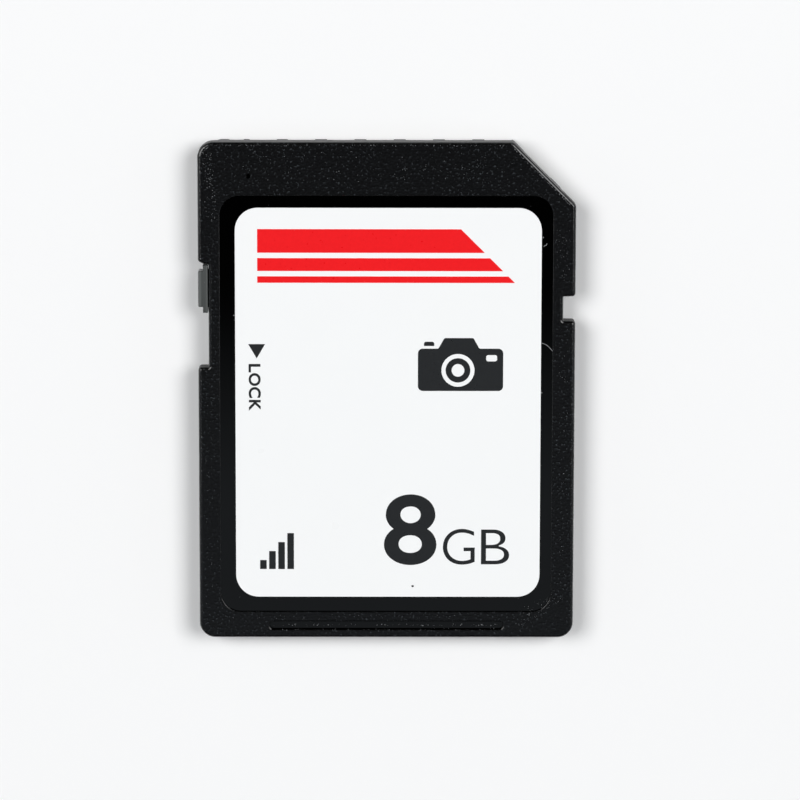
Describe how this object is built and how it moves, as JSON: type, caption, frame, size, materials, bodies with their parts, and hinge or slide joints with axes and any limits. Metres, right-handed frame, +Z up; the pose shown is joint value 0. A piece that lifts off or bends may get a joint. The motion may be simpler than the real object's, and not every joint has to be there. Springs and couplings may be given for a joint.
{
  "type": "sd memory card",
  "caption": "Flat rectangular memory card with a cut corner, a white label in a shallow recess, a sliding write lock in a side notch and gold contacts in open slots underneath.",
  "frame": {"origin": "middle of the back face, which is the contact side that the card lies on", "axes": "+X across the card towards the cut corner, +Y along the card towards the leading contact edge, +Z up out of the label face"},
  "size_m": [0.024, 0.032, 0.0021],
  "materials": {
    "shell_plastic": "black moulded plastic with a fine spark-eroded grain",
    "label_film": "satin white printed label",
    "lock_plastic": "grey moulded plastic, satin",
    "board_laminate": "glass-fibre laminate under dark green solder mask",
    "gold_plating": "hard gold plating, lightly wiped",
    "chip_epoxy": "black moulded epoxy, matt",
    "tinned_copper": "tin plating, dull",
    "capacitor_ceramic": "fired brown ceramic with tinned ends",
    "resistor_ceramic": "dark glazed ceramic with tinned ends"
  },
  "bodies": {
    "card": {"top_cover": "shell_plastic", "bottom_cover": "shell_plastic", "front_label": "label_film", "circuit_board": "board_laminate", "flash_chip": "chip_epoxy", "flash_leads": "tinned_copper", "controller_chip": "chip_epoxy", "controller_pads": "tinned_copper", "contact_1": "gold_plating", "contact_2": "gold_plating", "contact_3": "gold_plating", "contact_4": "gold_plating", "contact_5": "gold_plating", "contact_6": "gold_plating", "contact_7": "gold_plating", "contact_8": "gold_plating", "contact_9": "gold_plating", "capacitor_1": "capacitor_ceramic", "capacitor_2": "capacitor_ceramic", "capacitor_3": "capacitor_ceramic", "capacitor_4": "capacitor_ceramic", "resistor_1": "resistor_ceramic", "resistor_2": "resistor_ceramic", "resistor_3": "resistor_ceramic", "resistor_4": "resistor_ceramic"},
    "write_lock": {"lock_slider": "lock_plastic"}
  },
  "joints": [
    {"name": "lock_slide", "type": "slide", "parent": "card", "child": "write_lock", "axis": [0, -1, 0], "range_m": [0, 0.0034]}
  ]
}
